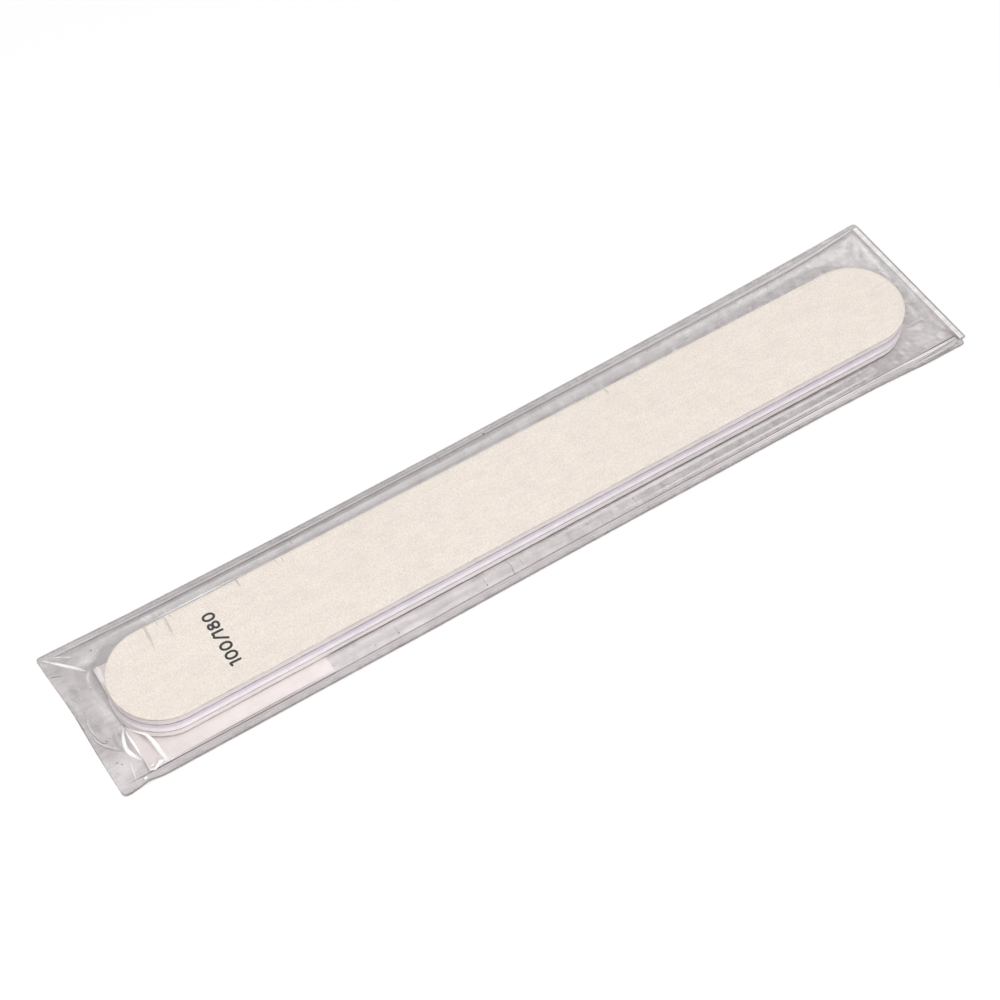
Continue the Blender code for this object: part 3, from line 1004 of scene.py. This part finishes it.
# Painted highlights and painted reflections of the front film, on low ridges: glints along its creases,
# pale lines by the welds and the file's edges, and broad pale patches of painted light. Each corner as x, y
# and half width in mm, and strength.
glints = (
    ((-96.1, 15.2, 0.2, 0.8), (-94.2, 12.9, 0.3, 1), (-92.1, 10.5, 0.38, 1), (-90.1, 8.3, 0.3, 0.9)),
    ((-89.8, 8.2, 0.2, 0.5), (-90.6, 7, 0.2, 0.35), (-91.4, 4.5, 0.14, 0.15)),
    ((-94.9, 14.3, 0.1, 0.4), (-93.2, 14, 0.16, 0.6), (-91.4, 12.7, 0.16, 0.5), (-90.4, 12.4, 0.1, 0.2)),
    ((-90, -5.5, 0.16, 0.8), (-91.1, -7.4, 0.32, 0.95), (-91.85, -9.9, 0.42, 1), (-91.5, -11.6, 0.42, 1),
     (-90.4, -13.8, 0.2, 0.9)),
    ((-90, -5.7, 0.14, 0.8), (-90.2, -8, 0.24, 0.9), (-90.2, -10.8, 0.26, 0.95), (-90.4, -13.8, 0.14, 0.8)),
    ((-89.8, -5.6, 0.14, 0.8), (-88.8, -7.4, 0.22, 0.85), (-87.5, -9.2, 0.3, 0.9), (-87.1, -11, 0.4, 0.95),
     (-87, -13.4, 0.5, 0.85), (-86.8, -15.4, 0.5, 0.85), (-86.8, -16.2, 0.4, 0.9)),
    ((-86.2, -16, 0.2, 0.9), (-87.4, -15.5, 0.26, 1), (-88.4, -15.7, 0.3, 1), (-89.6, -16.2, 0.26, 1),
     (-90.3, -15.3, 0.12, 0.5)),
    ((-89.9, -15.1, 0.1, 0.4), (-89.4, -15.3, 0.2, 0.6), (-88.9, -15.1, 0.1, 0.4)),
    ((-88.4, -15, 0.1, 0.5), (-87.9, -15.2, 0.22, 0.8), (-87.3, -15, 0.1, 0.5)),
    ((-92.1, -17, 0.26, 0.9), (-91.7, -16.95, 0.3, 1), (-91.3, -16.9, 0.26, 0.9)),
    ((-92.4, -12.4, 0.1, 0.3), (-92.9, -14.5, 0.16, 0.4), (-93.4, -16.9, 0.12, 0.4)),
    ((-95.8, -3.6, 0.08, 0.3), (-95, -6.7, 0.14, 0.5), (-92.3, -9.8, 0.1, 0.3)),
    ((-93, 0.2, 0.1, 0.1), (-94.8, -0.8, 0.14, 0.25), (-95.2, -3.6, 0.16, 0.35), (-94.4, -6.1, 0.14, 0.25)),
    ((-93.9, 6.7, 0.08, 0.2), (-93.1, 5.8, 0.12, 0.35), (-93.2, 4.2, 0.08, 0.2)),
    ((-96.2, 6, 0.3, 0.1), (-95.4, 3, 0.7, 0.25), (-95.6, 0, 0.3, 0.1)),
    ((-92, 3, 0.3, 0.1), (-91.6, 0, 0.6, 0.15), (-91.8, -3, 0.3, 0.1)),
    ((-76, 11.6, 0.15, 0.5), (-65, 11.6, 0.18, 0.6), (-54.8, 11.6, 0.15, 0.4)),
    ((-75.3, 11.5, 0.8, 0.2), (-75.3, 12.6, 1.1, 0.3), (-75.3, 13.6, 0.8, 0.1)),
    ((-73.4, 11.6, 0.12, 0.4), (-73.4, 13.4, 0.1, 0.2)),
    ((-71.8, 11.6, 0.12, 0.4), (-71.7, 13.2, 0.1, 0.2)),
    ((-92.6, 10.4, 0.5, 0.2), (-90.6, 10.4, 1, 0.32), (-88.4, 10.6, 1.3, 0.36), (-86.2, 11.6, 0.8, 0.3),
     (-84, 12.2, 0.4, 0.1)),
    ((-88, 8.6, 0.7, 0.4), (-88.3, 7, 0.7, 0.5), (-88.6, 5.2, 0.45, 0.45), (-88.8, 3.5, 0.2, 0.1)),
    ((-14, -13.3, 0.3, 0.05), (0, -13.35, 0.4, 0.2), (20, -13.3, 0.45, 0.42), (45, -13.3, 0.45, 0.36),
     (66, -13.4, 0.4, 0.36), (80, -13.1, 0.3, 0.2)),
    ((2, -15.25, 0.2, 0.1), (20, -15.3, 0.25, 0.25), (45, -15.25, 0.3, 0.4), (66, -15.2, 0.3, 0.42),
     (78, -15, 0.25, 0.2)),
    ((87.2, -9.2, 0.14, 0.16), (90.7, -9.2, 0.22, 0.2), (94.4, -9.1, 0.12, 0.12)),
    ((87.6, -10.2, 0.3, 0.2), (89.6, -10.6, 0.6, 0.2), (91.2, -12.2, 0.3, 0.1)),
    ((91.8, -3.6, 0.3, 0.1), (91.9, -6, 0.6, 0.22), (91.2, -8.8, 0.5, 0.2)),
    ((94.4, 16.6, 0.2, 0.2), (91.5, 15.2, 0.8, 0.3), (89, 13.4, 0.9, 0.28), (88.2, 11.6, 0.4, 0.1)),
    ((94.5, 16.2, 0.16, 0.2), (92.7, 13, 0.5, 0.3), (90.8, 10, 0.4, 0.15)),
    ((94.6, 15.2, 0.16, 0.2), (93.8, 11.5, 0.4, 0.22), (93, 7, 0.3, 0.1)),
    ((93.9, 9, 0.16, 0.12), (93.2, 4, 0.5, 0.2), (93.6, -1, 0.3, 0.1)),
    ((60, -16.2, 0.12, 0.1), (74, -16.35, 0.2, 0.3), (84, -16.6, 0.34, 0.5), (91, -16.75, 0.34, 0.5),
     (94.6, -16.7, 0.2, 0.35)),
    ((80, -17.5, 0.1, 0.25), (88, -17.9, 0.2, 0.4), (94.5, -17.6, 0.12, 0.3)),
)
# Painted shade of the front film, on low ridges, in the same numbers: dark fold lines and pleats, the file's
# shadow on the far side, and dark lines along the file's foot and the label's near edge.
shades = (
    ((-95.4, -1.6, 0.07, 0.3), (-95.2, -5.2, 0.08, 0.55), (-94.5, -6.8, 0.09, 0.6), (-93.4, -6.8, 0.07, 0.4)),
    ((-96.1, -4, 0.07, 0.4), (-95.2, -6.9, 0.08, 0.55), (-93.8, -8.9, 0.09, 0.6), (-92.3, -10.3, 0.07, 0.5)),
    ((-96.5, 10.6, 0.08, 0.4), (-95.4, 10.4, 0.08, 0.4), (-94.4, 9.7, 0.07, 0.2)),
    ((-51.3, -12.4, 0.12, 0.5), (-46, -12.4, 0.15, 0.6), (-39, -12.4, 0.1, 0.2)),
    ((94.6, 6.5, 0.3, 0.15), (94.5, 2, 0.5, 0.3), (94.6, -4, 0.3, 0.15)),
    ((93.4, -10.5, 0.3, 0.1), (93.2, -12.6, 0.9, 0.25), (94.2, -15, 0.4, 0.2)),
    ((94.9, -13, 0.1, 0.3), (95, -15.5, 0.16, 0.8), (95.2, -17.6, 0.16, 0.8)),
    ((82, -17.6, 0.08, 0.3), (87, -17.45, 0.1, 0.5), (91, -17.2, 0.11, 0.55), (95, -17, 0.1, 0.5)),
    ((82, -17.6, 0.08, 0.2), (88, -18.25, 0.1, 0.45), (93, -18.2, 0.1, 0.45), (95.1, -17.2, 0.08, 0.4)),
    ((89.4, 15.6, 0.4, 0.1), (91.2, 13.8, 0.9, 0.24), (90.8, 11.8, 0.5, 0.1)),
    ((87.4, -9.5, 0.1, 0.2), (90.7, -9.6, 0.16, 0.3), (94.2, -9.45, 0.1, 0.2)),
    ((-78, 11.8, 0.25, 0.08), (-40, 11.8, 0.34, 0.12), (0, 11.8, 0.34, 0.12), (40, 11.8, 0.34, 0.1),
     (77, 11.8, 0.25, 0.06)),
    ((30, 12.2, 0.25, 0.04), (45, 12.6, 0.5, 0.1), (62, 13.25, 0.5, 0.15), (75, 13.8, 0.5, 0.2),
     (80, 13.7, 0.5, 0.2), (83.6, 12.7, 0.5, 0.18), (85.6, 11.3, 0.45, 0.14), (86.8, 10, 0.3, 0.06)),
    ((-94.6, -1.2, 0.4, 0.08), (-94.2, -3.4, 0.8, 0.18), (-93.6, -5.8, 0.4, 0.08)),
    ((-94.6, 8, 0.3, 0.08), (-94, 5.6, 0.6, 0.16), (-94.2, 3.4, 0.3, 0.08)),
    ((92.2, -4.2, 0.07, 0.2), (92.9, -6.6, 0.1, 0.35), (92.6, -9, 0.07, 0.2)),
    ((-86.2, -16.05, 0.09, 0.6), (-70, -16.05, 0.1, 0.75), (-51.8, -16, 0.09, 0.6)),
    ((-76.7, 11.4, 0.4, 0.26), (-77, 8.3, 0.28, 0.17), (-77.6, 4.5, 0.16, 0.03)),
    ((-74.3, 11.4, 0.25, 0.25), (-74.3, 9.8, 0.12, 0.05)),
    ((-72.5, 11.4, 0.34, 0.28), (-72.8, 8.3, 0.24, 0.18), (-73.2, 5.8, 0.14, 0.03)),
    ((-71.5, 11.4, 0.2, 0.22), (-71.3, 9.5, 0.1, 0.05)),
    ((-57.2, 11.4, 0.16, 0.5), (-57.2, 8.9, 0.1, 0.1)),
    ((-48.8, 11.2, 0.12, 0.35), (-48.8, 10, 0.08, 0.1)),
    ((-47.5, 11, 0.12, 0.25), (-47.5, 9.5, 0.08, 0.05)),
    ((27, 11.2, 0.12, 0.4), (27.2, 10.2, 0.1, 0.3), (27, 9.4, 0.08, 0.1)),
    ((-68.3, 12, 0.1, 0.2), (-68.3, 13.8, 0.12, 0.4)),
    ((-44.1, 12.1, 0.1, 0.2), (-44.1, 13.8, 0.12, 0.4)),
    ((-10.2, 12.2, 0.08, 0.1), (-10, 14.2, 0.12, 0.4), (-9.9, 15.8, 0.08, 0.2)),
    ((1.4, 14.4, 0.12, 0.35), (1.4, 12, 0.08, 0.1)),
    ((14.2, 15.4, 0.1, 0.3), (13.5, 12.4, 0.1, 0.15)),
    ((20.6, 11.8, 0.1, 0.2), (20.6, 13.6, 0.1, 0.35)),
    ((-37.8, -15.3, 0.1, 0.3), (-37.7, -13.2, 0.08, 0.1)),
    ((-18.2, -15.2, 0.1, 0.3), (-18.1, -13.4, 0.08, 0.1)),
    ((-12.4, -12.2, 0.08, 0.15), (-12, -14.2, 0.12, 0.4), (-12.4, -15.8, 0.12, 0.5),
     (-12.1, -17.4, 0.08, 0.2)),
    ((-9.9, -13.4, 0.08, 0.15), (-9.9, -15.6, 0.12, 0.4)),
    ((16.4, -14.2, 0.1, 0.4), (16.5, -15.6, 0.08, 0.2)),
)
# Specks of dirt on the front film: the same numbers, each one short.
specks = (
    ((-87.55, 12, 0.2, 1), (-87.1, 11.9, 0.2, 1)),
    ((-87.1, 11.45, 0.15, 0.8), (-86.8, 11.35, 0.15, 0.8)),
    ((-88.05, 11.1, 0.18, 0.9), (-87.6, 11.05, 0.18, 0.9)),
    ((-88.6, 10.5, 0.14, 0.8), (-88.25, 10.4, 0.14, 0.8)),
    ((-96.2, 0.95, 0.15, 0.7), (-95.85, 0.9, 0.15, 0.7)),
    ((-94.65, 0.95, 0.12, 0.6), (-94.35, 0.95, 0.12, 0.6)),
    ((-93.95, 1.2, 0.11, 0.6), (-93.65, 1.2, 0.11, 0.6)),
    ((-94.2, -6.5, 0.14, 0.8), (-93.8, -6.55, 0.14, 0.8)),
    ((-93.3, -6.35, 0.1, 0.6), (-93.05, -6.3, 0.1, 0.6)),
    ((-94.65, -11.4, 0.13, 0.8), (-94.4, -11.6, 0.13, 0.8)),
    ((-94, -12.1, 0.14, 0.8), (-93.75, -12.3, 0.14, 0.8)),
    ((-96.4, 10.5, 0.08, 0.5), (-95.4, 10.4, 0.1, 0.6), (-94.5, 9.9, 0.08, 0.5)),
    ((-37.8, -15.7, 0.18, 0.7), (-37.8, -15.3, 0.18, 0.6)),
    ((-18.2, -15.7, 0.18, 0.7), (-18.2, -15.3, 0.18, 0.6)),
    ((0.5, 14.7, 0.2, 0.8), (1, 14.7, 0.2, 0.8)),
    ((5.6, -14.4, 0.16, 0.7), (5.6, -14, 0.16, 0.6)),
    ((16.4, -14.2, 0.16, 0.7), (16.4, -13.8, 0.16, 0.6)),
)


def crease_ridges(name, creases, finish):
    """Low ridges on the film along its creases and marks: a lens-shaped profile carried along each path.
    Their finish paints highlights on the glints, shade on the shades and dark dust on the specks.

    A crease is as wide as its corners say and closes in at its ends. It stands 0.3 of its half width high,
    and 0.08 mm at most. Its outline is laid out against the back film and each point then slides up to the
    film, under the eye. Its "strength" is 1 along its crest, 0 at its sides and below, times what its
    corners say. A broad crease fades out more softly.
    """
    turn = np.linspace(0, 2 * math.pi, 21)[:-1]
    grids = []
    strengths = []
    for corners in creases:
        line = curved(corners, 60)
        side = leftwards(np.gradient(line[:, :2], axis=0))
        fade = np.sin(math.pi * np.linspace(0, 1, len(line)))[:, None] ** 0.4
        width = fade * line[:, 2:3]
        flat = under_eye(line[:, None, :2] + side[:, None] * (np.cos(turn)[None, :] * width)[..., None])
        seat = film_height(flat[..., 0], flat[..., 1]) + film_thickness
        stand = (0.2 + np.sin(turn)[None, :]) * np.minimum(0.3 * width, 0.08) * mm
        grids.append(raised(flat, seat + stand))
        soft = np.clip((width - 0.3) / 0.25, 0, 1)
        crest = np.clip((1.6 - 0.6 * soft) * np.sin(turn)[None, :], 0, 1) ** (1 + soft)
        strengths.append(fade * line[:, 3:4] * crest)
    mesh = grid_mesh(name, grids, False, True, numbers={"strength": strengths})
    settle_with_film(piece(name, mesh, "sleeve", finish, "clear_film"))


def carried_nodes():
    """The finish of the CAD nodes whose own shape is kept, the file's glue layers."""
    for name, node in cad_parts.items():
        if name.endswith(("paper_glue", "core_glue")):
            node.data.materials.clear()
            node.data.materials.append(finishes["glue_film"])


# The studio


def stage_floor():
    """A pale floor that the camera sees as white, by Light Path, and that keeps the object's shadow.

    It is clear from below, and lies a little under the sleeve.
    """
    half = 1.6
    sink = 0.05 * mm
    mesh = bpy.data.meshes.new("floor")
    corners = [(-half, -half, -sink), (half, -half, -sink), (half, half, -sink), (-half, half, -sink)]
    mesh.from_pydata(corners, [], [(0, 1, 2, 3)])
    floor = bpy.data.objects.new("floor", mesh)
    bpy.context.scene.collection.objects.link(floor)
    finish = Finish("pale_floor")
    pale = finish.node("ShaderNodeBsdfDiffuse", {}, {"Color": (0.9, 0.9, 0.9, 1)}).outputs[0]
    inputs = {"Color": white, "Strength": finish.seen() * 0.12}
    glow = finish.node("ShaderNodeEmission", {}, inputs).outputs[0]
    both = finish.node("ShaderNodeAddShader", {}, {0: pale, 1: glow}).outputs[0]
    clear = finish.node("ShaderNodeBsdfTransparent").outputs[0]
    behind = Number(finish, finish.node("ShaderNodeNewGeometry").outputs["Backfacing"])
    floor.data.materials.append(finish.show(finish.blended(behind, both, clear)))


def sky():
    """A pale world: it lights the object softly, and the camera and reflections see it as white."""
    finish = Finish("pale_world", world=True)
    dim = 0.45
    inputs = {"Color": white, "Strength": dim + finish.seen() * (1 - dim)}
    bpy.context.scene.world = finish.show(finish.node("ShaderNodeBackground", {}, inputs).outputs[0])


def soft_lamp(name, azimuth, elevation, distance, size, radiance):
    """A square softbox that faces the file from an azimuth and elevation, of a plain radiance."""
    lamp = bpy.data.lights.new(name, "AREA")
    lamp.shape = "SQUARE"
    lamp.size = size
    lamp.energy = radiance * math.pi * size ** 2
    item = bpy.data.objects.new(name, lamp)
    back = towards(math.radians(azimuth), math.radians(elevation))
    item.location = back * distance
    item.rotation_mode = "QUATERNION"
    item.rotation_quaternion = back.to_track_quat("Z", "Y")
    bpy.context.scene.collection.objects.link(item)
    return item


def studio():
    """Soft lamps overhead and behind, a small one in front, and one for the film's gloss.

    The front lamp shades the far side. It is kept out of reflections, so that the film doesn't mirror it
    as a blown spot.
    """
    soft_lamp("overhead", -20, 76, 0.95, 0.9, 0.9)
    soft_lamp("behind", 205, 40, 1.0, 0.9, 0.8)
    soft_lamp("front", -7, 45, 0.8, 0.035, 660.0).visible_glossy = False
    soft_lamp("gloss", 62, 50, 0.7, 0.07, 15.0)


def photo_camera():
    """The camera that took the photograph: where it stood, how far it was rolled and its long lens."""
    data = bpy.data.cameras.new("camera")
    data.lens = camera_lens
    data.sensor_width = 36.0
    data.clip_start = 0.01
    data.clip_end = 20.0
    camera = bpy.data.objects.new("camera", data)
    turned = (Matrix.Rotation(camera_azimuth, 4, "Z")
              @ Matrix.Rotation(math.pi / 2 - camera_elevation, 4, "X")
              @ Matrix.Rotation(camera_roll, 4, "Z"))
    camera.matrix_world = Matrix.Translation(camera_eye) @ turned
    bpy.context.scene.collection.objects.link(camera)
    bpy.context.scene.camera = camera


photo_camera()
file_layers()
grit_numbers()
back_film()
front_film()
welds()
label_layer("label", "label_paper", "label_paper", "label_paper", 0.07 * mm)
label_layer("label_backing", "label_glue", "glue_film", "glue_film", 0.0)
crease_ridges("film_glints", glints, "crease_glint")
crease_ridges("film_shades", shades, "crease_shade")
crease_ridges("film_specks", specks, "film_speck")
carried_nodes()
stage_floor()
sky()
studio()

scene = bpy.context.scene
scene.view_settings.view_transform = "Standard"
# Light crosses each clear skin on its way down and again on its way back.
scene.cycles.transparent_max_bounces = 32
